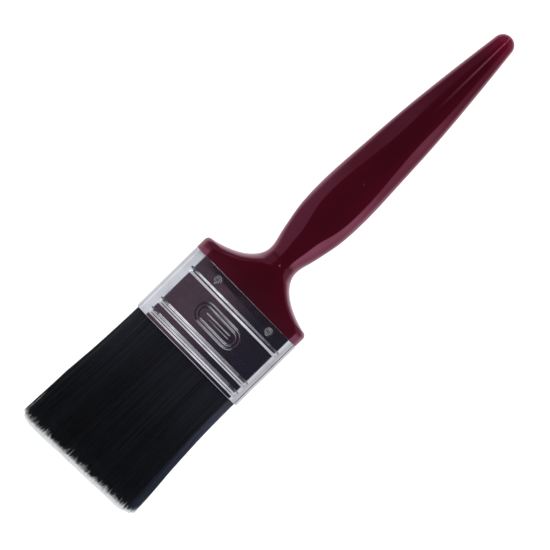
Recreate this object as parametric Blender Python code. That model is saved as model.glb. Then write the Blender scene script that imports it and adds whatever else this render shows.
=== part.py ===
"""A flat 50 mm paint brush, lying on its back face.

Frame: metres, +Z up through the brush's thickness, +Y from the bristle tips to the handle's
tip, +X across the brush. The origin is under the middle of the length, on the surface that
the brush lies on. Lengths below are in millimetres and are scaled once, when a mesh is made.
A station is a distance along the brush from the ferrule's handle-side edge: it grows towards
the bristle tips and is negative along the handle.
"""

import math

import bmesh
import bpy
from mathutils import Vector

MM = 0.001
FIT_GAP = 0.3  # between pieces that touch on the real brush

# Driving dimensions
HANDLE_LENGTH = 135.8  # from the ferrule's edge to the handle's tip
FERRULE_LENGTH = 30.8
BRISTLE_LENGTH = 58.6  # beyond the ferrule's mouth
FERRULE_WIDTH = 51.6
FERRULE_THICKNESS = 15.0  # over the flat panels
SHEET = 0.4
BEAD_HEIGHT = 0.65

# Where the brush's own planes lie
EDGE_Y = (FERRULE_LENGTH + BRISTLE_LENGTH - HANDLE_LENGTH) / 2
MID_Z = FERRULE_THICKNESS / 2 + BEAD_HEIGHT
HALF_WIDTH = FERRULE_WIDTH / 2
HALF_THICKNESS = FERRULE_THICKNESS / 2

# Handle: half widths and half thicknesses by station, from just below the tip to the neck
TIP_RADIUS = 4.25
NECK_STATION = -18.7
NECK_HALF_WIDTH = 6.65
SIDE_KNOTS = [(-132.0, 4.22), (-111.0, 6.66), (-91.0, 8.62), (-71.0, 9.92), (-50.0, 10.9),
              (-38.0, 10.36), (-27.0, 8.32), (NECK_STATION, NECK_HALF_WIDTH)]
FACE_KNOTS = [(-132.0, 4.22), (-111.0, 5.65), (-91.0, 6.65), (-71.0, 7.1), (-50.0, 7.25),
              (-38.0, 7.2), (-27.0, 7.2), (NECK_STATION, HALF_THICKNESS)]
FLARE_CENTRE = 36.1  # half width at the centre of the concave quarter ellipse
FLARE_DEPTH = 14.6
SHOULDER_RADIUS = 1.2
SHOULDER_HEIGHT = 4.5
TENON_DEPTH = 11.0

# Ferrule: bead centres and widths by station
BEADS = [(7.3, 3.2), (23.2, 3.1), (28.1, 2.9)]
BEAD_CREST = 0.2  # flat share of a bead's width
LAP_HEIGHT = 0.25
LAP_HALF_ANGLE = 34.0
EMBLEM_STATION = 15.5
EMBLEM_LENGTH = 21.0
EMBLEM_WIDTH = 8.6
EMBLEM_RIDGE = 0.9
EMBLEM_HEIGHT = 0.35

# Nails
NAIL_STATION = 3.2
NAIL_SPACING = 26.4
FRONT_NAIL_SHIFT = 1.05
NAIL_HEAD_RADIUS = 1.6
NAIL_HEAD_HEIGHT = 0.35
NAIL_SHANK_RADIUS = 0.65
NAIL_HOLE_RADIUS = 1.0
NAIL_WEB = 1.6  # wood left between the front and back nail holes

# Bristles, with what holds them
RESIN_START = TENON_DEPTH + FIT_GAP
BUTT_STATION = 15.3
PACK_HALF_WIDTH = HALF_WIDTH - SHEET - FIT_GAP
PACK_HALF_THICKNESS = HALF_THICKNESS - SHEET - FIT_GAP
TIP_STATION = FERRULE_LENGTH + BRISTLE_LENGTH
TIP_HALF_WIDTH = 27.5
PACK_SWELL = 0.75  # how far the pack swells in thickness beyond the mouth
TIP_HALF_THICKNESS = 3.6
PLUG_WIDTH = 32.0
PLUG_THICKNESS = 3.8
PLUG_LENGTH = 12.6

ARC_STEPS = 10  # edges in each quarter of an oblong's ends


def spot(x, station, height):
    """A place on the brush, in millimetres: height is measured from its middle plane."""
    return Vector((x, EDGE_Y - station, MID_Z + height))


def smoothstep(low, high, value):
    share = min(max((value - low) / (high - low), 0.0), 1.0)
    return share * share * (3 - 2 * share)


def curve_through(knots):
    """A smooth function through knots: cubic Hermite pieces with slopes from their neighbours."""
    xs = [k[0] for k in knots]
    ys = [k[1] for k in knots]
    chords = [(ys[i + 1] - ys[i]) / (xs[i + 1] - xs[i]) for i in range(len(xs) - 1)]
    slopes = [chords[0]] + [(a + b) / 2 for a, b in zip(chords, chords[1:])] + [0.0]

    def value(x):
        i = max(j for j in range(len(chords)) if j == 0 or x >= xs[j])
        step = xs[i + 1] - xs[i]
        s = (x - xs[i]) / step
        return (ys[i] * (2 * s**3 - 3 * s**2 + 1) + ys[i + 1] * (3 * s**2 - 2 * s**3)
                + step * (slopes[i] * (s**3 - 2 * s**2 + s) + slopes[i + 1] * (s**3 - s**2)))

    return value


def oblong(half_width, half_thickness, end=None):
    """Points and outward normals around a flat-sided oblong whose ends are half ellipses,
    each with its angle up from the +X or -X axis. The points run anticlockwise from +X."""
    end = half_thickness if end is None else end
    flat = half_width - end
    ring = []
    for quarter in range(4):
        side = 1 if quarter in (0, 3) else -1
        for step in range(ARC_STEPS + 1):
            angle = math.radians(90 * quarter + 90 * step / ARC_STEPS)
            if step == ARC_STEPS and quarter in (1, 3):
                continue  # the next quarter starts on this point
            point = (side * flat + end * math.cos(angle), half_thickness * math.sin(angle))
            normal = Vector((math.cos(angle) / end, math.sin(angle) / half_thickness))
            ring.append((point, normal.normalized(), angle))
    return ring


def place(ring, station):
    return [spot(x, station, z) for (x, z), _, _ in ring]


def finish_mesh(name, bm, material):
    """Turns a bmesh in millimetres into a named object in metres, with smooth round faces."""
    bmesh.ops.recalc_face_normals(bm, faces=bm.faces)
    bmesh.ops.scale(bm, vec=(MM, MM, MM), verts=bm.verts)
    mesh = bpy.data.meshes.new(name)
    bm.to_mesh(mesh)
    bm.free()
    mesh.shade_smooth()
    mesh.set_sharp_from_angle(angle=math.radians(35))
    mesh.materials.append(material)
    obj = bpy.data.objects.new(name, mesh)
    bpy.context.scene.collection.objects.link(obj)
    return obj


def join_rings(bm, rings):
    """Walls between successive rings of equally many vertices."""
    for lower, upper in zip(rings, rings[1:]):
        for i in range(len(lower)):
            j = (i + 1) % len(lower)
            bm.faces.new((lower[i], lower[j], upper[j], upper[i]))


def loft(name, material, rings, pole=None):
    """A closed body through rings. It starts at a pole point, where there is one, or a flat cap."""
    bm = bmesh.new()
    loops = [[bm.verts.new(p) for p in ring] for ring in rings]
    join_rings(bm, loops)
    if pole is None:
        bm.faces.new(loops[0])
    else:
        top = bm.verts.new(pole)
        for i in range(len(loops[0])):
            bm.faces.new((top, loops[0][i], loops[0][(i + 1) % len(loops[0])]))
    bm.faces.new(loops[-1])
    return finish_mesh(name, bm, material)


def hidden_tool(obj):
    obj.hide_render = True
    obj.display_type = "WIRE"
    return obj


def combine(obj, tool, operation):
    modifier = obj.modifiers.new(tool.name, "BOOLEAN")
    modifier.operation = operation
    modifier.solver = "EXACT"
    modifier.object = hidden_tool(tool)


def material(name, colour, roughness, metallic):
    mat = bpy.data.materials.new(name)
    mat.use_nodes = True
    shader = mat.node_tree.nodes["Principled BSDF"]
    shader.inputs["Base Color"].default_value = (*colour, 1.0)
    shader.inputs["Roughness"].default_value = roughness
    shader.inputs["Metallic"].default_value = metallic
    return mat


# The handle ------------------------------------------------------------------------------


def tip_rings():
    """The rounded tip, up to where the handle's cone is tangent to it."""
    rings = []
    for degrees in (20, 40, 60, 83):
        angle = math.radians(degrees)
        station = -HANDLE_LENGTH + TIP_RADIUS * (1 - math.cos(angle))
        radius = TIP_RADIUS * math.sin(angle)
        rings.append(place(oblong(radius + 0.05, radius, radius), station))
    return rings


def grip_rings():
    """The belly, from below the tip to the neck: a fine oval that is widest at mid length."""
    side, face = curve_through(SIDE_KNOTS), curve_through(FACE_KNOTS)
    start, steps = SIDE_KNOTS[0][0], 26
    rings = []
    for i in range(1, steps + 1):
        station = start + (NECK_STATION - start) * i / steps
        width = side(station)
        rings.append(place(oblong(width, face(station), width - 0.05), station))
    return rings


def flare_rings():
    """The concave shoulders, from the neck out to the corner and down to the ferrule."""
    reach = FLARE_CENTRE - NECK_HALF_WIDTH
    corner = HALF_WIDTH - SHOULDER_RADIUS
    last = math.acos((FLARE_CENTRE - corner) / reach)
    rings = []
    steps = 12
    for i in range(1, steps + 1):
        angle = last * i / steps
        width = FLARE_CENTRE - reach * math.cos(angle)
        station = NECK_STATION + FLARE_DEPTH * math.sin(angle)
        rings.append((width, station))
    corner_top = rings[-1][1]
    for degrees in (30, 60, 90):
        angle = math.radians(degrees)
        rings.append((corner + SHOULDER_RADIUS * math.sin(angle),
                      corner_top + SHOULDER_RADIUS * (1 - math.cos(angle))))
    rings.append((HALF_WIDTH, -FIT_GAP))
    return [place(oblong(w, HALF_THICKNESS, min(w - 0.05, HALF_THICKNESS)), s) for w, s in rings]


def nail_places(front):
    shift = FRONT_NAIL_SHIFT if front else 0.0
    return [shift - NAIL_SPACING / 2, shift + NAIL_SPACING / 2]


def cylinder(name, centre_x, station, low, high, radius, sides=16):
    """An upright round tool between two heights from the middle plane."""
    bm = bmesh.new()
    loops = []
    for height in (low, high):
        loops.append([bm.verts.new(spot(centre_x + radius * math.cos(2 * math.pi * k / sides),
                                        station + radius * math.sin(2 * math.pi * k / sides), height))
                      for k in range(sides)])
    join_rings(bm, loops)
    bm.faces.new(loops[0])
    bm.faces.new(loops[1])
    return finish_mesh(name, bm, TOOL)


def make_handle():
    tenon = oblong(PACK_HALF_WIDTH, PACK_HALF_THICKNESS)
    taper = oblong(PACK_HALF_WIDTH - 0.6, PACK_HALF_THICKNESS - 0.6)
    rings = tip_rings() + grip_rings() + flare_rings()
    rings += [place(tenon, -FIT_GAP), place(tenon, TENON_DEPTH - 0.8), place(taper, TENON_DEPTH)]
    handle = loft("handle", LACQUER, rings, pole=spot(0, -HANDLE_LENGTH, 0))
    for front in (True, False):
        side = 1 if front else -1
        for number, x in enumerate(nail_places(front)):
            ends = sorted((side * NAIL_WEB / 2, side * (PACK_HALF_THICKNESS + 1)))
            hole = cylinder(f"handle_nail_hole_{front}_{number}", x, NAIL_STATION, *ends,
                            NAIL_HOLE_RADIUS, sides=12)
            combine(handle, hole, "DIFFERENCE")
    return handle


# The ferrule -----------------------------------------------------------------------------


def bead_lift(station):
    """Height of the rolled beads at a station, from 0 on the panels to 1 on a crest."""
    for centre, width in BEADS:
        away = abs(station - centre) / (width / 2)
        if away < 1:
            return 1 - smoothstep(BEAD_CREST, 1.0, away)
    return 0.0


def ferrule_stations():
    """Rows of the ferrule's mesh: its two edges, and each bead's foot, slopes and flat crest."""
    stations = [0.0, FERRULE_LENGTH]
    for centre, width in BEADS:
        for share in (BEAD_CREST, 0.45, 0.72, 1):
            stations += [centre - width / 2 * share, centre + width / 2 * share]
    return sorted(stations)


def ferrule_ring(inset, station):
    """One row around the ferrule. Beads fade out round the narrow sides, and the strip's
    lapped ends stand proud of the +X side."""
    points = []
    for (x, z), normal, angle in oblong(HALF_WIDTH - inset, HALF_THICKNESS - inset):
        from_face = 90 - math.degrees(math.asin(min(abs(math.sin(angle)), 1.0)))
        lift = BEAD_HEIGHT * bead_lift(station) * (1 - smoothstep(18, 62, from_face))
        if inset == 0 and x > 0 and 90 - from_face <= LAP_HALF_ANGLE:
            lift += LAP_HEIGHT
        points.append(spot(x + normal.x * lift, station, z + normal.y * lift))
    return points


def stadium(half_length, half_width, height, steps=8):
    """Outline of an upright stadium on the front panel, long across the brush."""
    ring = []
    for side in (1, -1):
        for k in range(steps + 1):
            angle = math.pi * k / steps - math.pi / 2
            x = side * (half_length - half_width + half_width * math.cos(angle))
            ring.append(spot(x, EMBLEM_STATION + side * half_width * math.sin(angle), height))
    return ring


def emblem_band():
    """A raised stadium-shaped rib, the plain pressed ornament of the front panel."""
    low, high = HALF_THICKNESS - SHEET / 2, HALF_THICKNESS + EMBLEM_HEIGHT
    outer = (EMBLEM_LENGTH / 2, EMBLEM_WIDTH / 2)
    inner = (outer[0] - EMBLEM_RIDGE, outer[1] - EMBLEM_RIDGE)
    bm = bmesh.new()
    rings = [stadium(*outer, low), stadium(*outer, high), stadium(*inner, high), stadium(*inner, low)]
    loops = [[bm.verts.new(p) for p in ring] for ring in rings]
    join_rings(bm, loops + [loops[0]])
    return finish_mesh("emblem_band", bm, TOOL)


def make_ferrule():
    bm = bmesh.new()
    shells = []
    for inset in (0.0, SHEET):
        shells.append([[bm.verts.new(p) for p in ferrule_ring(inset, s)] for s in ferrule_stations()])
    outer, inner = shells
    join_rings(bm, outer + inner[::-1] + [outer[0]])
    ferrule = finish_mesh("ferrule", bm, TINPLATE)
    combine(ferrule, emblem_band(), "UNION")
    for front in (True, False):
        side = 1 if front else -1
        for number, x in enumerate(nail_places(front)):
            ends = sorted((side * (HALF_THICKNESS - SHEET - 1), side * (HALF_THICKNESS + 1)))
            hole = cylinder(f"ferrule_nail_hole_{front}_{number}", x, NAIL_STATION, *ends,
                            NAIL_HOLE_RADIUS, sides=12)
            combine(ferrule, hole, "DIFFERENCE")
    return ferrule


# The nails -------------------------------------------------------------------------------


def make_nail(name, x, side):
    """A flat-headed pin through the sheet and into the tenon, driven from one face."""
    head_low = HALF_THICKNESS + FIT_GAP
    head_top = head_low + NAIL_HEAD_HEIGHT
    profile = [(NAIL_SHANK_RADIUS * 0.35, NAIL_WEB / 2 + FIT_GAP),
               (NAIL_SHANK_RADIUS, NAIL_WEB / 2 + 1.5),
               (NAIL_SHANK_RADIUS, head_low),
               (NAIL_HEAD_RADIUS, head_low),
               (NAIL_HEAD_RADIUS, head_top - 0.12),
               (NAIL_HEAD_RADIUS - 0.25, head_top)]
    sides = 16
    rings = []
    for radius, height in profile:
        turn = [2 * math.pi * k / sides for k in range(sides)]
        rings.append([spot(x + radius * math.cos(a), NAIL_STATION + radius * math.sin(a),
                           side * height) for a in turn])
    return loft(name, NAIL_STEEL, rings)


def make_nails():
    for front, word, side in ((True, "front", 1), (False, "back", -1)):
        left, right = nail_places(front)
        make_nail(f"nail_{word}_left", left, side)
        make_nail(f"nail_{word}_right", right, side)


# The bristles ----------------------------------------------------------------------------


def pack_section(station):
    """Half width and half thickness of the bristle pack: parallel in the ferrule, spreading
    sideways outside it, swelling a little in thickness and trimmed to a blunt chisel."""
    out = max(station - FERRULE_LENGTH, 0.0) / BRISTLE_LENGTH
    width = PACK_HALF_WIDTH + (TIP_HALF_WIDTH - PACK_HALF_WIDTH) * out
    width -= 1.6 * smoothstep(0.955, 1.0, out)
    swell = PACK_SWELL * math.sin(math.pi * min(out / 0.9, 1.0))
    chisel = (PACK_HALF_THICKNESS - TIP_HALF_THICKNESS) * smoothstep(0.45, 1.0, out)
    return width, PACK_HALF_THICKNESS + swell - chisel


def bank_ring(station, side):
    """Half of the pack's section: its face, with a flat back just off the middle plane."""
    width, thickness = pack_section(station)
    ring = [(x, z) for (x, z), _, angle in oblong(width, thickness) if math.sin(angle) > 0.1]
    half = [(ring[0][0] + 0.1, FIT_GAP / 2)] + ring + [(ring[-1][0] - 0.1, FIT_GAP / 2)]
    return [spot(x, station, side * z) for x, z in half]


def make_bank(name, side):
    outside = [FERRULE_LENGTH + BRISTLE_LENGTH * share
               for share in (0.0, 0.12, 0.25, 0.4, 0.55, 0.68, 0.8, 0.9, 0.955, 0.98, 1.0)]
    bank = loft(name, BRISTLE, [bank_ring(s, side) for s in [BUTT_STATION] + outside])
    pocket_half = PLUG_WIDTH / 2 + FIT_GAP
    ends = sorted((side * (PLUG_THICKNESS / 2 + FIT_GAP), -side * 1.0))
    low, high = BUTT_STATION - 1, BUTT_STATION + PLUG_LENGTH + FIT_GAP
    combine(bank, box(f"{name}_pocket", pocket_half, (low, high), ends, TOOL), "DIFFERENCE")
    return bank


def box(name, half_width, stations, heights, mat):
    bm = bmesh.new()
    loops = []
    for station in stations:
        corners = [(-half_width, heights[0]), (half_width, heights[0]),
                   (half_width, heights[1]), (-half_width, heights[1])]
        loops.append([bm.verts.new(spot(x, station, z)) for x, z in corners])
    join_rings(bm, loops)
    bm.faces.new(loops[0])
    bm.faces.new(loops[1])
    return finish_mesh(name, bm, mat)


def make_plug():
    """The strip of wood that parts the bristles and leaves a paint reservoir below it."""
    ends = (BUTT_STATION, BUTT_STATION + PLUG_LENGTH)
    thickness = (-PLUG_THICKNESS / 2, PLUG_THICKNESS / 2)
    plug = box("spacer_plug", PLUG_WIDTH / 2, ends, thickness, PLUG_WOOD)
    edge = plug.modifiers.new("eased_edges", "BEVEL")
    edge.width = 0.4 * MM
    edge.segments = 1
    return plug


def make_resin():
    """The set resin over the bristle butts, up against the handle's tenon."""
    full = oblong(PACK_HALF_WIDTH, PACK_HALF_THICKNESS)
    eased = oblong(PACK_HALF_WIDTH - 0.5, PACK_HALF_THICKNESS - 0.5)
    end = BUTT_STATION - FIT_GAP
    return loft("epoxy_set", RESIN, [place(eased, RESIN_START), place(full, RESIN_START + 0.5),
                                     place(full, end)])


for old in list(bpy.data.objects):
    bpy.data.objects.remove(old)

LACQUER = material("handle_lacquer", (0.075, 0.005, 0.018), 0.12, 0.0)
TINPLATE = material("ferrule_tinplate", (0.78, 0.78, 0.80), 0.14, 1.0)
NAIL_STEEL = material("nail_steel", (0.55, 0.55, 0.57), 0.3, 1.0)
BRISTLE = material("bristle_black", (0.012, 0.012, 0.015), 0.45, 0.0)
PLUG_WOOD = material("plug_wood", (0.55, 0.38, 0.22), 0.7, 0.0)
RESIN = material("epoxy_resin", (0.45, 0.33, 0.16), 0.25, 0.0)
TOOL = material("tool", (0.5, 0.5, 0.5), 0.5, 0.0)

make_handle()
make_ferrule()
make_nails()
make_bank("front_bristle_bank", 1)
make_bank("back_bristle_bank", -1)
make_plug()
make_resin()
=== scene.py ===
"""The visual model of a flat 50 mm paint brush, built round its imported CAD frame.

Shapes are worked out in millimetres, as in the CAD source. A station is a distance along the
brush from the ferrule's handle-side edge, growing towards the bristle tips, x is across the
brush, and a height is measured from the brush's middle plane.
"""

import math

import bpy
import numpy as np
from mathutils import Matrix, Vector


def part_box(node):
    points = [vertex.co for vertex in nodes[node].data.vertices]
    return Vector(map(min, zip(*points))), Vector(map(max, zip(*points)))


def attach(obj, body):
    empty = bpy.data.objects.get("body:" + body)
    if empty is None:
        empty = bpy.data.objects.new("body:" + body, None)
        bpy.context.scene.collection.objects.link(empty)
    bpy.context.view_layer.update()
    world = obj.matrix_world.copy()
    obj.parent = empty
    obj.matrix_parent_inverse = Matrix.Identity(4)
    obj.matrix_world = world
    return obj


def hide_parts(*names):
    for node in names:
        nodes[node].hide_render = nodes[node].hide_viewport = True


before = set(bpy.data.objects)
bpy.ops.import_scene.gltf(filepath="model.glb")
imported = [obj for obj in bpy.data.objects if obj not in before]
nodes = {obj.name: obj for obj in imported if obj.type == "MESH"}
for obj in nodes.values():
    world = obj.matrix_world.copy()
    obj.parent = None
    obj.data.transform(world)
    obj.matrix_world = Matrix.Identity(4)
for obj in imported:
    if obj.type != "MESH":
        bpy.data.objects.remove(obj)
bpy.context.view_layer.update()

MM = 0.001
RNG = np.random.default_rng(50)

# Sizes taken from the frame, in millimetres
ferrule_low, ferrule_high = (Vector(c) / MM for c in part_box("ferrule"))
handle_low, handle_high = (Vector(c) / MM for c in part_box("handle"))
bank_low, bank_high = (Vector(c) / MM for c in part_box("front_bristle_bank"))

EDGE_Y = ferrule_high.y
MID_Z = (ferrule_low.z + ferrule_high.z) / 2
FERRULE_LENGTH = ferrule_high.y - ferrule_low.y
HALF_WIDTH = (handle_high.x - handle_low.x) / 2
BEAD_HEIGHT = 0.65  # the frame's box goes to the beads' crests
HALF_THICKNESS = (ferrule_high.z - ferrule_low.z) / 2 - BEAD_HEIGHT
HANDLE_LENGTH = handle_high.y - EDGE_Y
TENON_DEPTH = EDGE_Y - handle_low.y
TIP_STATION = EDGE_Y - bank_low.y
BUTT_STATION = EDGE_Y - bank_high.y


def nail_middle(name):
    """A nail's x and station."""
    low, high = (Vector(c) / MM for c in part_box(name))
    return (low.x + high.x) / 2, EDGE_Y - (low.y + high.y) / 2


NAILS = {name: nail_middle(name) for name in nodes if name.startswith("nail_")}


# Small tools -----------------------------------------------------------------------------


def smooth(low, high, value):
    """A smooth step from 0 at low to 1 at high; high may be the smaller of the two."""
    share = np.clip((value - low) / (high - low), 0.0, 1.0)
    return share * share * (3 - 2 * share)


def plateau(value, rise, fall):
    """1 between two smooth steps and 0 outside them, each step given as (low, high)."""
    return smooth(*rise, value) * (1 - smooth(*fall, value))


def hermite(knots, last_slope=0.0):
    """A smooth function through knots, with each slope but the last taken from its neighbours."""
    xs, ys = np.array(knots, float).T
    chords = np.diff(ys) / np.diff(xs)
    slopes = np.concatenate([[chords[0]], (chords[1:] + chords[:-1]) / 2, [last_slope]])

    def value(x):
        x = np.clip(np.asarray(x, float), xs[0], xs[-1])
        i = np.clip(np.searchsorted(xs, x, side="right") - 1, 0, len(chords) - 1)
        step = xs[i + 1] - xs[i]
        s = (x - xs[i]) / step
        return (ys[i] * (2 * s**3 - 3 * s**2 + 1) + ys[i + 1] * (3 * s**2 - 2 * s**3)
                + step * (slopes[i] * (s**3 - 2 * s**2 + s) + slopes[i + 1] * (s**3 - s**2)))

    return value


def places(x, station, height):
    """World places, in metres, of points given on the brush in millimetres."""
    x, station, height = np.broadcast_arrays(x, station, height)
    return np.stack([x, EDGE_Y - station, MID_Z + height], axis=-1) * MM


def signed_volume(points, faces):
    """Six times the enclosed volume, above 0 when the faces look outwards."""
    total = 0.0
    for face in faces:
        a, b, c, d = (points[face[:, i]] for i in (0, 1, 2, -1))
        total += np.einsum("ij,ij->", a, np.cross(b, c))
        if face.shape[1] == 4:
            total += np.einsum("ij,ij->", a, np.cross(c, d))
    return total


def mesh_object(name, points, faces, materials, face_material=None):
    """An object from a point array and a list of face arrays, turned to face outwards."""
    if signed_volume(points, faces) < 0:
        faces = [face[:, ::-1] for face in faces]
    mesh = bpy.data.meshes.new(name)
    mesh.from_pydata(points.tolist(), [], [f for face in faces for f in face.tolist()])
    for mat in materials:
        mesh.materials.append(mat)
    if face_material is not None:
        mesh.polygons.foreach_set("material_index", face_material)
    mesh.shade_smooth()
    mesh.update()
    obj = bpy.data.objects.new(name, mesh)
    bpy.context.scene.collection.objects.link(obj)
    return obj


def ring_faces(rows, columns, start=0):
    """Quads between successive closed rings of points, numbered from start."""
    i = np.arange(rows - 1)[:, None] * columns + np.arange(columns)[None, :]
    j = np.arange(rows - 1)[:, None] * columns + (np.arange(columns) + 1)[None, :] % columns
    return np.stack([i, j, j + columns, i + columns], axis=-1).reshape(-1, 4) + start


def fan(centre, ring, flip=False):
    """Triangles from a centre point to a closed ring of point numbers."""
    after = np.roll(ring, -1)
    pair = (after, ring) if flip else (ring, after)
    return np.stack([np.full(len(ring), centre), *pair], axis=-1)


def capped_tube(name, rings, materials, face_material=None):
    """A closed body through rings of points, with a fan of faces over each end."""
    rows, columns = rings.shape[:2]
    centres = rings[[0, -1]].mean(axis=1)
    points = np.concatenate([rings.reshape(-1, 3), centres])
    count = rows * columns
    first, last = np.arange(columns), np.arange(columns) + (rows - 1) * columns
    faces = [ring_faces(rows, columns), fan(count, first, flip=True), fan(count + 1, last)]
    return mesh_object(name, points, faces, materials, face_material)


def finished(obj, slot, *replaced):
    """Sets a piece to ride on the brush; it may stand for CAD nodes, which it hides."""
    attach(obj, "root")
    if replaced:
        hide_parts(*replaced)
    return obj


# Materials -------------------------------------------------------------------------------


class Graph:
    """Short ways of adding and linking the nodes of one node tree."""

    def __init__(self, tree):
        self.tree = tree

    def add(self, kind, inputs=(), **settings):
        node = self.tree.nodes.new(kind)
        for key, value in settings.items():
            setattr(node, key, value)
        for key, value in dict(inputs).items():
            self.feed(node.inputs[key], value)
        return node

    def feed(self, socket, value):
        if isinstance(value, bpy.types.NodeSocket):
            self.tree.links.new(value, socket)
        else:
            socket.default_value = value

    def coordinates(self, scale=(1, 1, 1)):
        source = self.add("ShaderNodeTexCoord").outputs["Object"]
        return self.add("ShaderNodeMapping", {"Vector": source, "Scale": scale}).outputs[0]

    def noise(self, vector, scale, detail=3.0, roughness=0.5):
        return self.add("ShaderNodeTexNoise", {"Vector": vector, "Scale": scale, "Detail": detail,
                                               "Roughness": roughness}).outputs["Fac"]

    def ramp(self, value, low, high, out_low=0.0, out_high=1.0):
        """A smooth step from out_low, where value is low, to out_high, where it is high."""
        return self.add("ShaderNodeMapRange", {"Value": value, "From Min": low, "From Max": high,
                                               "To Min": out_low, "To Max": out_high},
                        interpolation_type="SMOOTHSTEP").outputs[0]

    def maths(self, operation, a, b=0.0):
        node = self.add("ShaderNodeMath", operation=operation)
        self.feed(node.inputs[0], a)
        self.feed(node.inputs[1], b)
        return node.outputs[0]

    def blend(self, factor, a, b):
        node = self.add("ShaderNodeMix", data_type="RGBA", clamp_factor=False)
        for socket, value in zip((node.inputs[0], node.inputs[6], node.inputs[7]), (factor, a, b)):
            self.feed(socket, value)
        return node.outputs[2]

    def bump(self, height, strength, distance):
        return self.add("ShaderNodeBump", {"Height": height, "Strength": strength,
                                           "Distance": distance}).outputs[0]


class Surface(Graph):
    """A material's nodes, ending in its Principled shader."""

    def __init__(self, name):
        self.mat = bpy.data.materials.new(name)
        self.mat.use_nodes = True
        super().__init__(self.mat.node_tree)
        self.shader = self.tree.nodes["Principled BSDF"]

    def set(self, **inputs):
        for key, value in inputs.items():
            self.feed(self.shader.inputs[key.replace("_", " ")], value)


def rgb(r, g, b):
    return (r, g, b, 1.0)


DUST_NIBS = ((0.0, -16.4), (0.4, -59.0))  # x and station of each


def lacquer():
    """Deep maroon dipped lacquer: glossy, faintly uneven, with two dust nibs under it. It is
    redder at the tip, the neck and the sides. The sides' red is painted light, a sheen where
    the side light falls. It is duller by the ferrule."""
    n = Surface("handle_lacquer")
    where = n.coordinates()
    cloud = n.noise(where, 45.0, detail=2.0)
    colour = n.blend(n.ramp(cloud, 0.3, 0.7), rgb(0.0300, 0.0016, 0.0041),
                     rgb(0.0340, 0.0018, 0.0048))
    # Redder in places; on the sides this is a painted sheen where the side light falls
    redder = n.add("ShaderNodeAttribute", attribute_name="red_tint_by_place").outputs["Fac"]
    colour = n.blend(redder, colour, rgb(0.064, 0.0020, 0.0085))
    peel = n.noise(where, 900.0, detail=2.0)
    height = n.maths("MULTIPLY", peel, 0.06)
    for x, station in DUST_NIBS:
        centre = places(x, station, HALF_THICKNESS + 0.1)
        apart = n.add("ShaderNodeVectorMath", {0: where, 1: tuple(centre)}, operation="DISTANCE")
        height = n.maths("ADD", height, n.ramp(apart.outputs["Value"], 0.0009, 0.0002))
        speck = n.ramp(apart.outputs["Value"], 0.0006, 0.0001, 0.0, 0.8)
        colour = n.blend(speck, colour, rgb(0.22, 0.10, 0.12))
    along = n.add("ShaderNodeSeparateXYZ", {0: where}).outputs[1]
    glossy, dull = ((EDGE_Y - station) * MM for station in (-9.0, -3.0))
    rough = n.maths("ADD", n.ramp(cloud, 0.2, 0.8, 0.05, 0.08),
                    n.ramp(along, glossy, dull, 0.0, 0.10))
    n.set(Base_Color=colour, Roughness=rough, IOR=2.2, Specular_Tint=rgb(1.0, 0.30, 0.51),
          Normal=n.bump(height, 0.3, 0.0002))
    return n.mat


def tinplate():
    """Bright plated sheet: nearly a mirror, with rolling marks and greasy smudges."""
    n = Surface("ferrule_tinplate")
    where = n.coordinates()
    smudge = n.noise(where, 130.0, detail=5.0, roughness=0.62)
    grain = n.noise(n.coordinates((220, 4200, 900)), 1.0, detail=3.0)
    tone = n.blend(n.ramp(smudge, 0.35, 0.7), rgb(0.55, 0.55, 0.58), rgb(0.48, 0.48, 0.51))
    rough = n.maths("ADD", n.ramp(smudge, 0.35, 0.75, 0.07, 0.17),
                    n.ramp(grain, 0.3, 0.8, 0.0, 0.04))
    n.set(Base_Color=tone, Metallic=1.0, Roughness=rough, Normal=n.bump(grain, 0.05, 0.00005))
    return n.mat


def nail_steel():
    """Bright wire steel, unevenly struck."""
    n = Surface("nail_steel")
    mottle = n.noise(n.coordinates(), 2500.0, detail=4.0)
    tone = n.blend(mottle, rgb(0.58, 0.58, 0.60), rgb(0.86, 0.85, 0.84))
    n.set(Base_Color=tone, Metallic=1.0, Roughness=n.ramp(mottle, 0.3, 0.7, 0.16, 0.34),
          Normal=n.bump(mottle, 0.7, 0.0003))
    return n.mat


def bare_beech():
    """Unlacquered wood with growth rings and flecks, for the handle's tenon and the plug."""
    n = Surface("bare_wood")
    rings = n.noise(n.coordinates((900, 40, 900)), 1.0, detail=6.0, roughness=0.6)
    fleck = n.noise(n.coordinates((5000, 900, 5000)), 1.0, detail=2.0)
    tone = n.blend(n.ramp(rings, 0.3, 0.7), rgb(0.50, 0.33, 0.18), rgb(0.66, 0.48, 0.29))
    tone = n.blend(n.ramp(fleck, 0.62, 0.72), tone, rgb(0.33, 0.19, 0.10))
    n.set(Base_Color=tone, Roughness=n.ramp(rings, 0.2, 0.8, 0.6, 0.8),
          Normal=n.bump(rings, 0.3, 0.0001))
    return n.mat


def resin():
    """Cloudy amber resin."""
    n = Surface("epoxy_resin")
    cloud = n.noise(n.coordinates(), 220.0, detail=4.0)
    tone = n.blend(cloud, rgb(0.30, 0.19, 0.07), rgb(0.50, 0.36, 0.17))
    n.set(Base_Color=tone, Roughness=n.ramp(cloud, 0.3, 0.7, 0.15, 0.35),
          Normal=n.bump(cloud, 0.4, 0.0003))
    return n.mat


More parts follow.
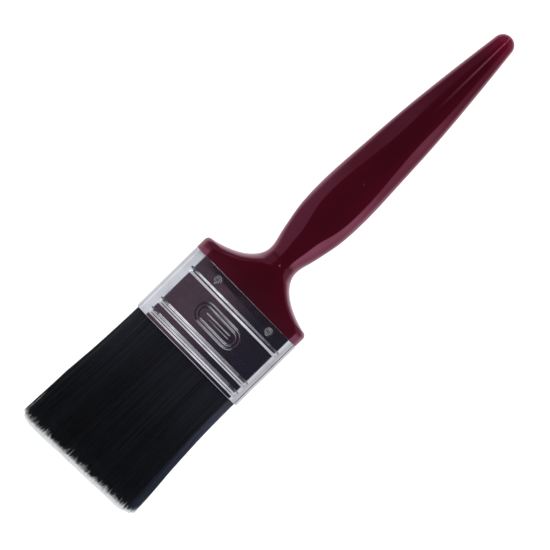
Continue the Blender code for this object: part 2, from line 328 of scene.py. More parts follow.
def filament_material():
    """Black filaments: each has its own tone, a painted highlight by the right edge, painted
    light that makes them lighter and bluer near the ferrule and darker in the far half, and a
    pale worn tip.
    """
    n = Surface("bristle_black")
    tone_and_edge_light = n.add("ShaderNodeAttribute", attribute_name="tone_and_edge_light").outputs["Fac"]
    to_tip = n.add("ShaderNodeAttribute", attribute_name="to_tip").outputs["Fac"]
    streak = n.noise(n.coordinates((2400, 70, 2400)), 1.0, detail=2.0)
    along = n.add("ShaderNodeSeparateXYZ", {0: n.coordinates()}).outputs[1]
    # Painted light: lighter and bluer by the ferrule's mouth, darker towards the tips
    lit_near = n.blend(tone_and_edge_light, rgb(0.0058, 0.0064, 0.0110), rgb(0.0165, 0.0180, 0.0300))
    shaded_far = n.blend(tone_and_edge_light, rgb(0.0010, 0.0015, 0.0034), rgb(0.0070, 0.0095, 0.0180))
    lit_near_y, shaded_far_y = ((EDGE_Y - station) * MM for station in (33.0, 62.0))
    body = n.blend(n.ramp(along, shaded_far_y, lit_near_y), shaded_far, lit_near)
    body = n.blend(n.ramp(streak, 0.5, 0.75, 0.0, 0.25), body, rgb(0.0130, 0.0142, 0.0200))
    tone = n.blend(n.ramp(to_tip, 0.25, -0.05), body, rgb(0.80, 0.82, 0.83))
    n.set(Base_Color=tone, Roughness=n.ramp(streak, 0.2, 0.8, 0.42, 0.62),
          Specular_IOR_Level=0.25)
    return n.mat


def core_material():
    """The dark, streaky inside of the pack."""
    n = Surface("bristle_core")
    streak = n.noise(n.coordinates((3800, 60, 3800)), 1.0, detail=4.0)
    tone = n.blend(n.ramp(streak, 0.35, 0.7), rgb(0.0015, 0.0015, 0.002),
                   rgb(0.012, 0.012, 0.015))
    n.set(Base_Color=tone, Roughness=0.7, Specular_IOR_Level=0.1,
          Normal=n.bump(streak, 0.6, 0.0002))
    return n.mat


LACQUER, TINPLATE, NAIL = lacquer(), tinplate(), nail_steel()
WOOD, RESIN = bare_beech(), resin()
FILAMENT, CORE = filament_material(), core_material()


# The handle ------------------------------------------------------------------------------

TIP_RADIUS = 4.25
GRIP_START, GRIP_START_HALF = -132.0, 4.22  # where the rounded tip meets the grip
NECK_STATION, NECK_HALF_WIDTH = -19.05, 6.65
FLARE_CENTRE, FLARE_DEPTH = 36.1, 14.6  # the shoulder's hollow, part of an ellipse about this x
SHOULDER_RADIUS = 2.0
LEAST_SIDE = 0.9  # each rounded side is at least this wide
CREASE_DROP = 0.2  # how far the face dips just beside its flat part
FOOT_EASE, FOOT_GAP = 0.06, 0.04  # the lacquer's last edge, just short of the ferrule
TENON_INSET = 0.75
AROUND = 240  # points round the handle

half_width_of = hermite([(GRIP_START, GRIP_START_HALF), (-111, 6.66), (-91, 8.62), (-71, 9.92),
                         (-50, 10.9), (-38, 10.36), (-27, 8.32), (NECK_STATION, NECK_HALF_WIDTH)])
half_thickness_of = hermite([(GRIP_START, GRIP_START_HALF), (-111, 5.6), (-91, 6.6), (-71, 7.05),
                             (-50, 7.2), (-38, 7.2), (-27, 7.2), (NECK_STATION, 7.25),
                             (-13.2, 7.42), (-8, HALF_THICKNESS), (0, HALF_THICKNESS)])
crown_of = hermite([(GRIP_START, 0.0), (-100, 0.12), (-84, 0.3), (-78, 0.28), (-66, 0.1),
                    (-58, -0.05), (-44, -0.05), (-38, 0.2), (-32, 0.35), (-27, 0.27),
                    (-20, 0.12), (-14, 0.0), (0, 0.0)])
flat_half_width_of = hermite([(-19.4, 0.02), (-17.0, 0.6), (-15.0, 2.1), (-13.5, 4.3), (-11.7, 6.4),
                              (-9.3, 9.3), (-7.1, 13.0), (-5.1, 17.0), (-4.0, 18.4), (0, 18.4)])


def handle_outline():
    """Stations and half widths from the rounded tip to the shoulder's foot."""
    angle = np.radians(np.linspace(4, 83, 16))
    tip = np.stack([-HANDLE_LENGTH + TIP_RADIUS * (1 - np.cos(angle)),
                    TIP_RADIUS * np.sin(angle)], 1)
    stations = np.linspace(GRIP_START, NECK_STATION, 114)[1:]
    grip = np.stack([stations, half_width_of(stations)], 1)
    reach = FLARE_CENTRE - NECK_HALF_WIDTH
    corner = HALF_WIDTH - SHOULDER_RADIUS
    angle = np.linspace(0, math.acos((FLARE_CENTRE - corner) / reach), 64)[1:]
    flare = np.stack([NECK_STATION + FLARE_DEPTH * np.sin(angle),
                      FLARE_CENTRE - reach * np.cos(angle)], 1)
    turn = np.radians(np.linspace(0, 90, 10))[1:]
    bend = np.stack([flare[-1, 0] + SHOULDER_RADIUS * (1 - np.cos(turn)),
                     corner + SHOULDER_RADIUS * np.sin(turn)], 1)
    side_end = -FOOT_GAP - 0.08
    side = np.array([(s, HALF_WIDTH) for s in np.linspace(bend[-1, 0], side_end, 14)[1:]])
    foot = np.array([(-FOOT_GAP, HALF_WIDTH - FOOT_EASE)])
    return np.concatenate([tip, grip, flare, bend, side, foot])


def section(half_width, half_thickness, flat, crease, count, crown=0.0):
    """Evenly spaced points round one section: flat faces and rounded sides. A crown above 0
    makes the sides fall away sooner than an ellipse, and a crease dips them beside the flat."""
    end = half_width - flat
    u = np.sin(np.linspace(0, math.pi / 2, 90))
    level = np.linspace(0, flat, 40)[:-1]
    x = np.concatenate([level, flat + end * u])
    z = np.concatenate([np.full(len(level), half_thickness),
                        half_thickness * (np.sqrt(1 - u**2) - crown * u**2 * (1 - u**2))
                        - crease * u * (1 - u)])
    quarter = np.stack([x, np.maximum(z, 0)], 1)[::-1]
    upper = np.concatenate([quarter, (quarter * (-1, 1))[::-1][1:]])
    loop = np.concatenate([upper, (upper * (1, -1))[::-1][1:]])
    run = np.concatenate([[0], np.cumsum(np.linalg.norm(np.diff(loop, axis=0), axis=1))])
    at = np.linspace(0, run[-1], count + 1)[:-1]
    return np.stack([np.interp(at, run, loop[:, 0]), np.interp(at, run, loop[:, 1])], 1)


def redness_by_place(across, station):
    """How much redder the lacquer is, by place: at the tip, the sides and the neck, and less so by
    the ferrule. On the sides it is painted light, a red sheen where the side light falls, more on
    the right than the left. Across goes from -1 to 1, from side to side."""
    tip = 2.0 * smooth(-120.5, -136.5, station)
    shoulder = smooth(-14, -4, station)
    # Painted light: the right side, where the side light falls, is made redder than the left
    right = (0.5 - 0.3 * smooth(-64, -36, station) + 0.2 * shoulder) * smooth(0.02, 0.75, across)
    left = (0.2 + 0.2 * shoulder) * smooth(0.02, 0.7, -across)
    neck = 0.2 * plateau(station, (-44, -20), (-17, -9))
    return tip + right + left + neck - 0.13 * smooth(-8, -2, station)


def make_handle():
    """The lacquered handle and its bare tenon, which goes into the ferrule, as one closed body."""
    outline = handle_outline()
    rings = []
    for station, width in outline:
        thickness = float(half_thickness_of(station))
        if station < GRIP_START:
            thickness = width
        if station >= -FOOT_GAP:
            thickness -= FOOT_EASE
        flat = min(float(flat_half_width_of(station)), width - LEAST_SIDE)
        crease = CREASE_DROP * float(plateau(station, (-18.5, -12.0), (-3.5, -0.8)))
        crown = float(crown_of(station))
        points = section(width, thickness, max(flat, 0.02), crease, AROUND, crown)
        rings.append(places(points[:, 0], station, points[:, 1]))
    lacquered = len(rings)
    wide, thick = HALF_WIDTH - TENON_INSET, HALF_THICKNESS - TENON_INSET
    for station, ease in ((0.0, 0.0), (0.5, 0.0), (TENON_DEPTH - 1.0, 0.1), (TENON_DEPTH, 0.8)):
        points = section(wide - ease, thick - ease, wide - thick, 0.0, AROUND)
        rings.append(places(points[:, 0], station, points[:, 1]))
    rings = np.array(rings)
    walls = (len(rings) - 1) * AROUND
    bare = np.zeros(walls + 2 * AROUND, dtype=np.int32)
    bare[lacquered * AROUND:walls] = 1
    bare[-AROUND:] = 1
    handle = capped_tube("handle_body", rings, [LACQUER, WOOD], bare)
    widths = np.concatenate([outline[:, 1], np.full(len(rings) - lacquered, wide)])
    x = rings[:, :, 0] / MM
    station = EDGE_Y - rings[:, :, 1] / MM
    # The red tint by place, on the sides a painted sheen of the side light
    redder = redness_by_place(x / widths[:, None], station).ravel()
    redder = np.concatenate([redder, redder[:1], [0.0]]).astype(np.float32)
    handle.data.attributes.new("red_tint_by_place", "FLOAT", "POINT").data.foreach_set("value", redder)
    return handle


# The ferrule -----------------------------------------------------------------------------

SHEET = 0.4
# Each bead's section, as (distance from where it starts, share of BEAD_HEIGHT)
PLAIN_BEAD = hermite([(0, 0), (0.12, 0.06), (0.72, 0.93), (0.9, 1.0), (1.3, 0.98), (1.5, 0.9),
                      (2.35, 0.08), (2.6, 0)])
STEPPED_BEAD = hermite([(0, 0), (0.12, 0.06), (0.74, 0.94), (0.9, 1.0), (1.05, 0.98), (1.8, 0.5),
                        (1.98, 0.47), (2.1, 0.44), (2.7, 0.04), (2.9, 0)])
BEADS = ((6.0, PLAIN_BEAD), (21.65, STEPPED_BEAD), (26.57, STEPPED_BEAD))
EMBLEM_X, EMBLEM_STATION = -0.25, 15.0
EMBLEM_HALF = (10.6, 4.4)  # half its length and half its width
RIB_HALF_WIDTH = 0.4
DIMPLE_DEPTH = 0.3
LAP_LIFT = 0.28
LAP_EDGE, LAP_SOFTNESS = 34.0, 2.4  # degrees up from the narrow side's middle
PANEL_WAVE, PANEL_CROWN = 0.05, 0.10


def bead_lift(station):
    """The share of BEAD_HEIGHT by which the beads stand off the sheet at a station."""
    lift = np.zeros_like(station)
    for start, section_height in BEADS:
        lift = np.maximum(lift, section_height(station - start))
    return lift


def rib(distance):
    """A rounded rib, 1 along its crest, by distance from its middle line."""
    return 1 - smooth(RIB_HALF_WIDTH * 0.25, RIB_HALF_WIDTH, np.abs(distance))


def stadium_distance(x, station, half_length, half_width):
    """Distance outside a stadium, negative inside it."""
    along = np.maximum(np.abs(x) - (half_length - half_width), 0)
    return np.hypot(along, station) - half_width


def emblem_lift(x, station):
    """A plain pressed ornament: two stadium-shaped ribs, one in the other, round a long bar."""
    dx, ds = x - EMBLEM_X, station - EMBLEM_STATION
    outside = stadium_distance(dx, ds, *EMBLEM_HALF)
    lift = np.maximum(rib(outside + 0.35), rib(outside + 1.75))
    lift = np.maximum(lift, 1 - smooth(-0.35, 0.05, stadium_distance(dx, ds, 6.6, 0.8)))
    return (0.14 + 0.04 * dx / EMBLEM_HALF[0]) * lift


def dimple_lift(x, station, nails):
    """The sheet is driven in round each nail, and swells a little beyond."""
    lift = np.zeros(np.broadcast(x, station).shape)
    for nail_x, nail_station in nails:
        dx, ds = x - nail_x, station - nail_station
        reach = np.hypot(dx, ds)
        lift -= DIMPLE_DEPTH * (1 - smooth(1.2, 1.6, reach))
        lift += 0.02 * np.exp(-(((reach - 2.1) / 0.35) ** 2))
    return lift


def nail_places(face):
    """The x and station of each nail on the front or the back."""
    return [middle for name, middle in NAILS.items() if face in name]


def graded(stops):
    """Positions from the first stop to the last. Each stop is (position, step up to the next)."""
    parts = []
    for (start, step), (end, _) in zip(stops, stops[1:]):
        count = max(1, round(abs(end - start) / step))
        parts.append(np.linspace(start, end, count + 1)[:-1])
    return np.concatenate(parts + [[stops[-1][0]]])


def ferrule_columns():
    """Places round the ferrule: x, height and outward normal, close together where there is
    detail."""
    flat = HALF_WIDTH - HALF_THICKNESS
    front = graded([(flat, 0.17), (-flat, 0)])[:-1]
    stops = [(-flat, 0.9)]
    for x, _ in sorted(nail_places("back")):
        stops += [(x - 2.6, 0.22), (x + 2.6, 0.9)]
    back = graded(stops + [(flat, 0)])[:-1]
    left = np.radians(np.linspace(90, 270, 60))[:-1]
    seam = 360 + LAP_EDGE
    right = np.radians(graded([(270, 3), (seam - 3, 0.3), (seam + 3, 3), (450, 0)]))[:-1]
    x = np.concatenate([front, -flat + HALF_THICKNESS * np.cos(left), back,
                        flat + HALF_THICKNESS * np.cos(right)])
    z = np.concatenate([np.full(len(front), HALF_THICKNESS), HALF_THICKNESS * np.sin(left),
                        np.full(len(back), -HALF_THICKNESS), HALF_THICKNESS * np.sin(right)])
    nx = np.concatenate([0 * front, np.cos(left), 0 * back, np.cos(right)])
    nz = np.concatenate([0 * front + 1, np.sin(left), 0 * back - 1, np.sin(right)])
    return x, z, nx, nz


def ferrule_rows():
    """Stations along the ferrule, close together over the beads, the ornament and both edges."""
    stops = [(0.0, 0.05), (0.25, 0.12), (0.6, 0.17), (5.5, 0.1), (9.0, 0.5), (10.4, 0.17),
             (19.6, 0.5), (21.4, 0.1), (24.9, 0.4), (26.3, 0.1), (29.8, 0.2),
             (FERRULE_LENGTH - 0.32, 0.04), (FERRULE_LENGTH, 0)]
    return graded(stops)


def make_ferrule():
    """One closed strip of sheet, its outside lifted by every pressed or bent feature."""
    x, z, nx, nz = ferrule_columns()
    station = ferrule_rows()[:, None]
    # The beads stay level over the start of the rounded sides, and end further round
    level = HALF_THICKNESS * (1 / np.maximum(np.abs(nz), 0.8) - 1)
    level = level * plateau(x, (-21.4, -20.2), (20.8, 22.0))
    beaded = plateau(x, (-22.6, -20.4), (21.0, 23.2))
    lift = (BEAD_HEIGHT * beaded + level) * bead_lift(station)
    front, back = (nz > 0.999)[None, :], (nz < -0.999)[None, :]
    lift = lift + front * emblem_lift(x, station)
    lift = lift + front * dimple_lift(x, station, nail_places("front"))
    lift = lift + back * dimple_lift(x, station, nail_places("back"))
    up = np.degrees(np.arctan2(nz, nx))
    lap_end = (LAP_EDGE - LAP_SOFTNESS, LAP_EDGE + LAP_SOFTNESS)
    lapped = (nx > 0.2) * plateau(up, (-48, -30), lap_end)
    lift = lift + LAP_LIFT * lapped * smooth(0.0, 0.3, station)
    wave = PANEL_WAVE * np.sin(x / 9.0 + 0.6) * np.sin(station / 7.0)
    wave = (wave + PANEL_CROWN * (1 - (x / HALF_WIDTH) ** 2)) * (front | back)
    lift = lift + wave * plateau(station, (0, 3), (FERRULE_LENGTH - 2, FERRULE_LENGTH))
    for edge, ease in ((station, 0.15), (FERRULE_LENGTH - station, 0.3)):
        lift = lift - ease * (1 - np.sqrt(1 - (1 - np.clip(edge / ease, 0, 1)) ** 2))
    outer = places(x + nx * lift, np.broadcast_to(station, lift.shape), z + nz * lift)
    inner_rows = np.linspace(FERRULE_LENGTH, 0, 10)[:, None]
    inner = places(x - nx * SHEET, inner_rows, z - nz * SHEET)
    rings = np.concatenate([outer, inner])
    total, columns = rings.shape[:2]
    faces = ring_faces(total, columns)
    last, first = np.arange(columns) + (total - 1) * columns, np.arange(columns)
    closing = np.stack([last, np.roll(last, -1), np.roll(first, -1), first], axis=-1)
    return mesh_object("ferrule_strip", rings.reshape(-1, 3), [faces, closing], [TINPLATE])


# The nails -------------------------------------------------------------------------------


def turned(name, profile, x, station, side, mat, columns=40):
    """A body turned about an upright axis from (radius, height) points, pole to pole."""
    angle = np.linspace(0, 2 * math.pi, columns, endpoint=False)
    rings = np.array([places(x + r * np.cos(angle), station + r * np.sin(angle), side * h)
                      for r, h in profile])
    return capped_tube(name, rings, [mat])


def nail_profile():
    """A slightly dished flat head with a rolled rim, and a shank with a cut point."""
    seat = HALF_THICKNESS - DIMPLE_DEPTH
    rim, roll, top, shank = 1.25, 0.15, seat + 0.38, 0.62
    points = [(0.02, top - 0.12), (0.45, top - 0.12), (0.8, top - 0.09),
              (rim - roll - 0.12, top - 0.01)]
    for degrees in range(90, -91, -20):
        turn = math.radians(degrees)
        points.append((rim - roll + roll * math.cos(turn), top - roll + roll * math.sin(turn)))
    points += [(shank + 0.04, seat), (shank, seat - 0.2), (shank, 3.2), (0.3, 1.7), (0.03, 1.2)]
    return points


def make_nails():
    for name, (x, station) in NAILS.items():
        side = 1 if "front" in name else -1
        nail = turned(name.replace("nail", "driven_nail"), nail_profile(), x, station, side, NAIL)
        finished(nail, "nail_steel", name)


# The bristles ----------------------------------------------------------------------------

PACK_HALF_WIDTH, PACK_HALF_THICKNESS = 25.1, 6.75
FILAMENT_RADIUS, SPACING = 0.135, 0.27
OUTER_DEPTH = 1.15  # filaments nearer the pack's surface than this run their full length
INNER_START = 76.0  # the others start here, because only their ends show
TUFTS = 150
TIP_SPREAD = 1.09  # about how much wider the pack is at the tips than in the ferrule
LIT_EDGE_STRIP = (21.3, 22.9)  # filaments are painted paler over this stretch of x, up to the right edge: a painted highlight
left_edge = hermite([(-40, 1.0), (FERRULE_LENGTH, 1.0), (42, 1.008), (50, 1.0185), (58, 1.0355),
                     (66, 1.0545), (74, 1.063), (82, 1.076), (TIP_STATION, 1.088)], 0.0015)
right_edge = hermite([(-40, 1.0), (FERRULE_LENGTH, 1.002), (42, 1.006), (50, 1.016), (58, 1.035),
                      (66, 1.0565), (74, 1.084), (82, 1.111), (TIP_STATION, 1.125)], 0.0015)
pack_thickness = hermite([(-40, 1.0), (FERRULE_LENGTH, 1.0), (44, 1.07), (58, 1.06), (74, 0.88),
                          (TIP_STATION, 0.66)])


def tip_line(x):
    """Where the longest filaments end: the trim runs a little out of square, and its corners are
    rounded off."""
    corners = 1.0 * smooth(24.6, 26.9, -x) + 0.9 * smooth(22.5, 27.5, x)
    return TIP_STATION - 0.25 - 0.037 * x - corners


def hexagonal_pack():
    """Filament places over the pack's section at the mouth, on a jittered hexagonal grid."""
    across = np.arange(-PACK_HALF_WIDTH, PACK_HALF_WIDTH, SPACING)
    up = np.arange(-PACK_HALF_THICKNESS, PACK_HALF_THICKNESS, SPACING * 0.866)
    x, z = np.meshgrid(across, up)
    x = x + (np.arange(len(up)) % 2)[:, None] * SPACING / 2
    x = (x + RNG.normal(0, 0.05, x.shape)).ravel()
    z = (z + RNG.normal(0, 0.05, z.shape)).ravel()
    flat = PACK_HALF_WIDTH - PACK_HALF_THICKNESS
    depth = PACK_HALF_THICKNESS - np.hypot(np.maximum(np.abs(x) - flat, 0), z)
    keep = depth > FILAMENT_RADIUS
    return x[keep], z[keep], depth[keep]


def clump_lean(x, z):
    """Neighbouring filaments lean together in tufts. Each gets its tuft's sideways lean, up-down
    lean and extra length."""
    homes = np.stack([RNG.uniform(-PACK_HALF_WIDTH, PACK_HALF_WIDTH, TUFTS),
                      RNG.uniform(-PACK_HALF_THICKNESS, PACK_HALF_THICKNESS, TUFTS)], 1)
    leans = RNG.normal(0, 1, (TUFTS, 3)) * (0.30, 0.25, 0.12)
    apart = (x[:, None] - homes[:, 0]) ** 2 + ((z[:, None] - homes[:, 1]) * 1.5) ** 2
    return leans[np.argmin(apart, axis=1)]


def filaments(name, x, z, depth, start, steps):
    """One piece made of many separate tapered filaments, each a closed four-sided rod."""
    count = len(x)
    lean = clump_lean(x, z)
    own = RNG.normal(0, 1, (count, 4))
    # Each filament ends by the trim line, a little sooner at the pack's surface than inside
    inwards = np.clip(depth / PACK_HALF_THICKNESS, 0, 1)
    end = tip_line(x * TIP_SPREAD) - 1.6 * (1 - inwards) ** 2
    end = end - np.abs(own[:, 0]) * 0.3 + lean[:, 2]
    p = np.linspace(0, 1, steps + 1)[None, :]
    station = start + (end[:, None] - start) * p
    # Outside the ferrule the pack spreads, and each filament leans and sways within its outline
    out = smooth(FERRULE_LENGTH, TIP_STATION, station)
    spread = np.where(x[:, None] < 0, left_edge(station), right_edge(station))
    phase = RNG.uniform(0, 2 * math.pi, (count, 2))
    sway = 0.07 * np.sin(station / 9.0 + phase[:, :1]) * out
    cx = x[:, None] * spread + out * (lean[:, :1] + own[:, 1:2] * 0.16) + sway
    most = (PACK_HALF_WIDTH - FILAMENT_RADIUS) * spread + 0.12 * np.abs(own[:, 2:3]) * out
    cx = np.clip(cx, -most, most)
    cz = z[:, None] * pack_thickness(station) + out * (lean[:, 1:2] + own[:, 2:3] * 0.10) * 0.7
    limit = PACK_HALF_THICKNESS + 0.7
    cz = np.clip(cz, -limit, limit)
    # A tapered rod round each centre line
    reach = (station - start) / (end[:, None] - start)
    radius = FILAMENT_RADIUS * (1 - 0.72 * smooth(0.55, 1.0, reach))
    turn = phase[:, 1][:, None, None] + np.arange(4)[None, None, :] * math.pi / 2
    px = cx[:, :, None] + radius[:, :, None] * np.cos(turn)
    pz = cz[:, :, None] + radius[:, :, None] * np.sin(turn)
    ps = np.broadcast_to(station[:, :, None], px.shape)
    points = places(px, ps, pz).reshape(-1, 3)
    block = (steps + 1) * 4
    offsets = (np.arange(count) * block)[:, None, None]
    walls = (ring_faces(steps + 1, 4)[None] + offsets).reshape(-1, 4)
    ends = (np.array([[3, 2, 1, 0], [block - 4, block - 3, block - 2, block - 1]])[None]
            + offsets).reshape(-1, 4)
    obj = mesh_object(name, points, [walls, ends], [FILAMENT])
    # What the material reads: each filament's tone, with a painted highlight by the right edge, and
    # how far a point is from its pale end
    tone_and_edge_light = np.clip(0.35 + 0.22 * own[:, 3] + 0.2 * lean[:, 0], 0, 1)
    # Painted highlight: filaments by the right edge are made paler
    tone_and_edge_light = tone_and_edge_light + 3.0 * smooth(*LIT_EDGE_STRIP, x)
    to_tip = (end[:, None] - station) - 0.9 - 0.55 * own[:, :1]
    for key, value in (("tone_and_edge_light", np.repeat(tone_and_edge_light, block)),
                       ("to_tip", np.repeat(to_tip.ravel(), 4))):
        layer = obj.data.attributes.new(key, "FLOAT", "POINT")
        layer.data.foreach_set("value", value.astype(np.float32))
    return obj


def make_core(name, side):
    """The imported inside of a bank, seen only as darkness between the outer filaments."""
    rings = []
    half_points = 65
    for station in (BUTT_STATION + 0.2, FERRULE_LENGTH, 44.0, 58.0, 70.0, 78.0, 83.0):
        wide = (PACK_HALF_WIDTH - 1.1) * float(left_edge(station)) - 0.6 * (station > 80)
        thick = (PACK_HALF_THICKNESS - 1.0) * float(pack_thickness(station))
        half = section(wide, thick, wide - thick, 0.0, 2 * (half_points - 1))[:half_points]
        rings.append(places(half[:, 0], station, side * (half[:, 1] + 0.02)))
    return capped_tube(name, np.array(rings), [CORE])


def make_bristles():
    """Two banks, each of full outer filaments, the ends of inner ones, and a dark core."""
    x, z, depth = hexagonal_pack()
    for word, side in (("front", 1), ("back", -1)):
        bank = f"{word}_bristle_bank"
        here = (z * side) >= 0
        shell = here & (depth < OUTER_DEPTH)
        inside = here & (depth >= OUTER_DEPTH)
        outer = filaments(f"{word}_bristles_outer", x[shell], z[shell], depth[shell],
                          BUTT_STATION + 0.3, 10)
        finished(outer, "bristle_black", bank)
        inner = filaments(f"{word}_bristles_inner", x[inside], z[inside], depth[inside],
                          INNER_START, 3)
        finished(inner, "bristle_black", bank)
        finished(make_core(f"{word}_bristle_core", side), "bristle_black", bank)


# The scene round the object --------------------------------------------------------------

VIEW_SPAN = 200.0  # millimetres across the picture at the brush
AIM_X, AIM_STATION = 1.2, -12.95  # the middle of the picture
CAMERA_DISTANCE = 900.0
ROLL = math.radians(45.69)  # how far the brush is turned in the picture
SIDE_TILT = math.radians(4.0)  # the camera's lean to the left
CARD_HEIGHT, CARD_LENGTH = 110.0, 90.0
CARD_SIDES = (-112.0, 190.0)
CARD_OVERLAP = 0.8  # past the line where the ferrule's edge mirrors the card's edge
FLOOR_HALF = 6000.0


def make_camera():
    """Looks almost straight down, from a little to the left, with the brush turned in the view."""
    camera = bpy.data.objects.new("camera", bpy.data.cameras.new("camera"))
    bpy.context.scene.collection.objects.link(camera)
    aim = Vector(places(AIM_X, AIM_STATION, HALF_THICKNESS))
    back = Vector((-math.sin(SIDE_TILT), 0, math.cos(SIDE_TILT)))
    up = Vector((-math.sin(ROLL), math.cos(ROLL), 0))
    right = up.cross(back).normalized()
    turn = Matrix((right, back.cross(right), back)).transposed().to_4x4()
    camera.matrix_world = Matrix.Translation(aim + back * CAMERA_DISTANCE * MM) @ turn
    camera.data.sensor_width = 36.0
    camera.data.lens = camera.data.sensor_width * CAMERA_DISTANCE / VIEW_SPAN
    camera.data.clip_start = 0.05
    camera.data.clip_end = 20.0
    bpy.context.scene.camera = camera


def sheet(name, across, along, height, mat):
    """A level rectangle of the surroundings, from its x and y limits in millimetres."""
    corners = [(across[0], along[0]), (across[1], along[0]), (across[1], along[1]),
               (across[0], along[1])]
    mesh = bpy.data.meshes.new(name)
    mesh.from_pydata([Vector((x, y, height)) * MM for x, y in corners], [], [(0, 1, 2, 3)])
    mesh.materials.append(mat)
    obj = bpy.data.objects.new(name, mesh)
    bpy.context.scene.collection.objects.link(obj)
    return obj


def make_floor():
    """A pale floor that stays out of reflections and shadows."""
    n = Surface("floor_white")
    paper = n.noise(n.coordinates(), 3.0, detail=2.0)
    n.set(Base_Color=n.blend(paper, rgb(0.62, 0.62, 0.62), rgb(0.64, 0.64, 0.64)), Roughness=1.0,
          Specular_IOR_Level=0.0, Emission_Color=rgb(1, 1, 1), Emission_Strength=0.75)
    floor = sheet("floor", (-FLOOR_HALF, FLOOR_HALF), (-FLOOR_HALF, FLOOR_HALF), 0.0, n.mat)
    floor.visible_glossy = floor.visible_shadow = False


def make_world():
    """A white tent for even light and, seen only in reflections, a dim room with soft windows.
    Directions are unit vectors: x to the right, y towards the handle's tip, z up."""
    world = bpy.data.worlds.new("studio")
    bpy.context.scene.world = world
    world.use_nodes = True
    world.cycles.sampling_method = "NONE"
    g = Graph(world.node_tree)
    g.tree.nodes.clear()
    split = g.add("ShaderNodeSeparateXYZ", {0: g.add("ShaderNodeTexCoord").outputs["Generated"]})
    x, y, z = split.outputs

    def window(*edges):
        """How far a direction is inside soft edges, each given as (component, outside, inside)."""
        share = 1.0
        for component, outside, inside in edges:
            share = g.maths("MULTIPLY", g.ramp(component, outside, inside), share)
        return share

    def grey(value, blue=1.0):
        return rgb(value, value, value * blue)

    # The room, and tall windows on both sides that dim towards the handle's end
    room = rgb(0.030, 0.020, 0.030)
    left = window((x, -0.20, -0.35), (z, 0.715, 0.690))
    left = g.maths("MULTIPLY", left, g.ramp(y, 0.25, 0.02, 0.2, 1.0))
    right = window((x, 0.20, 0.35), (z, 0.500, 0.465))
    right = g.maths("MULTIPLY", right, g.ramp(y, 0.25, -0.02, 0.14, 1.0))
    right = g.maths("MULTIPLY", right, g.ramp(y, -0.20, -0.04, 0.8, 1.0))
    room = g.blend(left, room, rgb(0.26, 0.285, 0.33))
    room = g.blend(right, room, g.blend(g.ramp(z, 0.0, 0.30), grey(0.80, 1.04), grey(1.1, 1.04)))
    # Dim walls beyond the handle, left and right, mirrored by the shoulders' hollows
    wall = window((x, -0.05, -0.20), (z, 0.86, 0.80), (y, 0.20, 0.36))
    room = g.blend(wall, room, rgb(0.15, 0.19, 0.21))
    wall = window((x, 0.20, 0.35), (z, 0.70, 0.50), (y, 0.18, 0.34))
    room = g.blend(wall, room, grey(0.30))
    # A window beyond the handle, in bands from left to right; the beads mirror it
    head = g.blend(g.ramp(x, 0.030, 0.044), grey(0.6), grey(2.3))
    head = g.blend(g.ramp(x, 0.058, 0.062), head, grey(0.44, 1.05))
    head = g.blend(g.ramp(x, 0.079, 0.086), head, grey(0.12, 1.2))
    head = g.blend(g.ramp(x, -0.14, -0.04), grey(0.14, 1.1), head)
    between = window((x, -0.20, -0.05), (x, 0.45, 0.28), (y, 0.35, 0.50), (z, 0.86, 0.80))
    room = g.blend(between, room, head)
    # A window beyond the bristles, also in bands; the beads' other sides mirror it
    foot = g.blend(g.ramp(x, 0.048, 0.066), grey(0.80), grey(1.55, 1.03))
    foot = g.blend(g.ramp(x, 0.078, 0.092), foot, grey(0.85, 1.08))
    room = g.blend(window((y, -0.28, -0.36), (z, 0.92, 0.88)), room, foot)
    # A small lamp that streaks the handle's tip, and the pale ground below the horizon
    streak = window((x, -0.17, -0.06), (x, 0.12, 0.03), (y, 0.18, 0.31), (y, 0.46, 0.40))
    room = g.blend(streak, room, grey(1.35))
    room = g.blend(g.ramp(z, -0.05, -0.65), room, grey(1.0, 1.02))

    tent = g.add("ShaderNodeBackground", {"Color": rgb(1, 1, 1), "Strength": 1.25})
    reflected = g.add("ShaderNodeBackground", {"Color": room, "Strength": 1.0})
    glossy = g.add("ShaderNodeLightPath").outputs["Is Glossy Ray"]
    choose = g.add("ShaderNodeMixShader", {0: glossy, 1: tent.outputs[0], 2: reflected.outputs[0]})
    g.add("ShaderNodeOutputWorld", {"Surface": choose.outputs[0]})


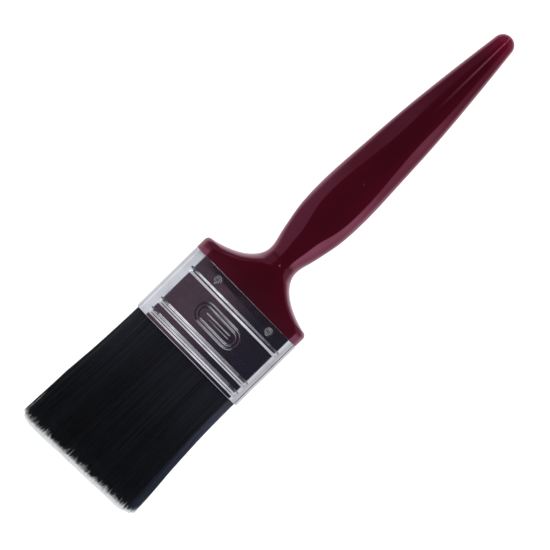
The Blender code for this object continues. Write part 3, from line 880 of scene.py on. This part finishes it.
def make_panel(name, centre, facing, width, height, radiance):
    """A white panel at centre, looking towards facing, that is seen only in reflections."""
    light = bpy.data.lights.new(name, "AREA")
    light.shape = "RECTANGLE"
    light.size, light.size_y = width * MM, height * MM
    light.energy = radiance * math.pi * width * height * MM * MM
    obj = bpy.data.objects.new(name, light)
    bpy.context.scene.collection.objects.link(obj)
    obj.location = Vector(centre) * MM
    obj.rotation_mode = "QUATERNION"
    obj.rotation_quaternion = Vector(facing).to_track_quat("-Z", "Y")
    obj.visible_camera = False
    obj.visible_diffuse = False


def make_ceiling_card():
    """A dim card over the bristles and ferrule, seen only in reflections, mauve on the left and
    darker on the right. It ends a little beyond the line that the ferrule's edge mirrors to the
    camera."""
    camera = bpy.context.scene.camera.location / MM
    rise = (CARD_HEIGHT - MID_Z - HALF_THICKNESS) / (camera.z - MID_Z - HALF_THICKNESS)
    edge = EDGE_Y + (EDGE_Y - camera.y) * rise
    n = Surface("ceiling_card")
    across = n.add("ShaderNodeSeparateXYZ", {0: n.coordinates()}).outputs[0]
    tone = n.blend(n.ramp(across, -0.006, 0.020), rgb(0.118, 0.078, 0.103),
                   rgb(0.028, 0.026, 0.042))
    n.set(Base_Color=rgb(0, 0, 0), Specular_IOR_Level=0.0, Emission_Color=tone,
          Emission_Strength=1.0)
    edge += CARD_OVERLAP
    card = sheet("ceiling_card", CARD_SIDES, (edge, edge - CARD_LENGTH), CARD_HEIGHT, n.mat)
    card.visible_camera = card.visible_diffuse = card.visible_shadow = False


def make_lights():
    make_world()
    make_ceiling_card()
    beside = (-75, EDGE_Y - 29.2, 27)
    make_panel("card_left", beside, facing=(1, 0, 0), width=56, height=78, radiance=0.80)


# The build -------------------------------------------------------------------------------

scene = bpy.context.scene
scene.view_settings.view_transform = "Standard"

finished(make_handle(), "handle_lacquer", "handle")
finished(make_ferrule(), "ferrule_tinplate", "ferrule")
make_nails()
make_bristles()
nodes["spacer_plug"].material_slots[0].material = WOOD
nodes["epoxy_set"].material_slots[0].material = RESIN

make_camera()
make_floor()
make_lights()
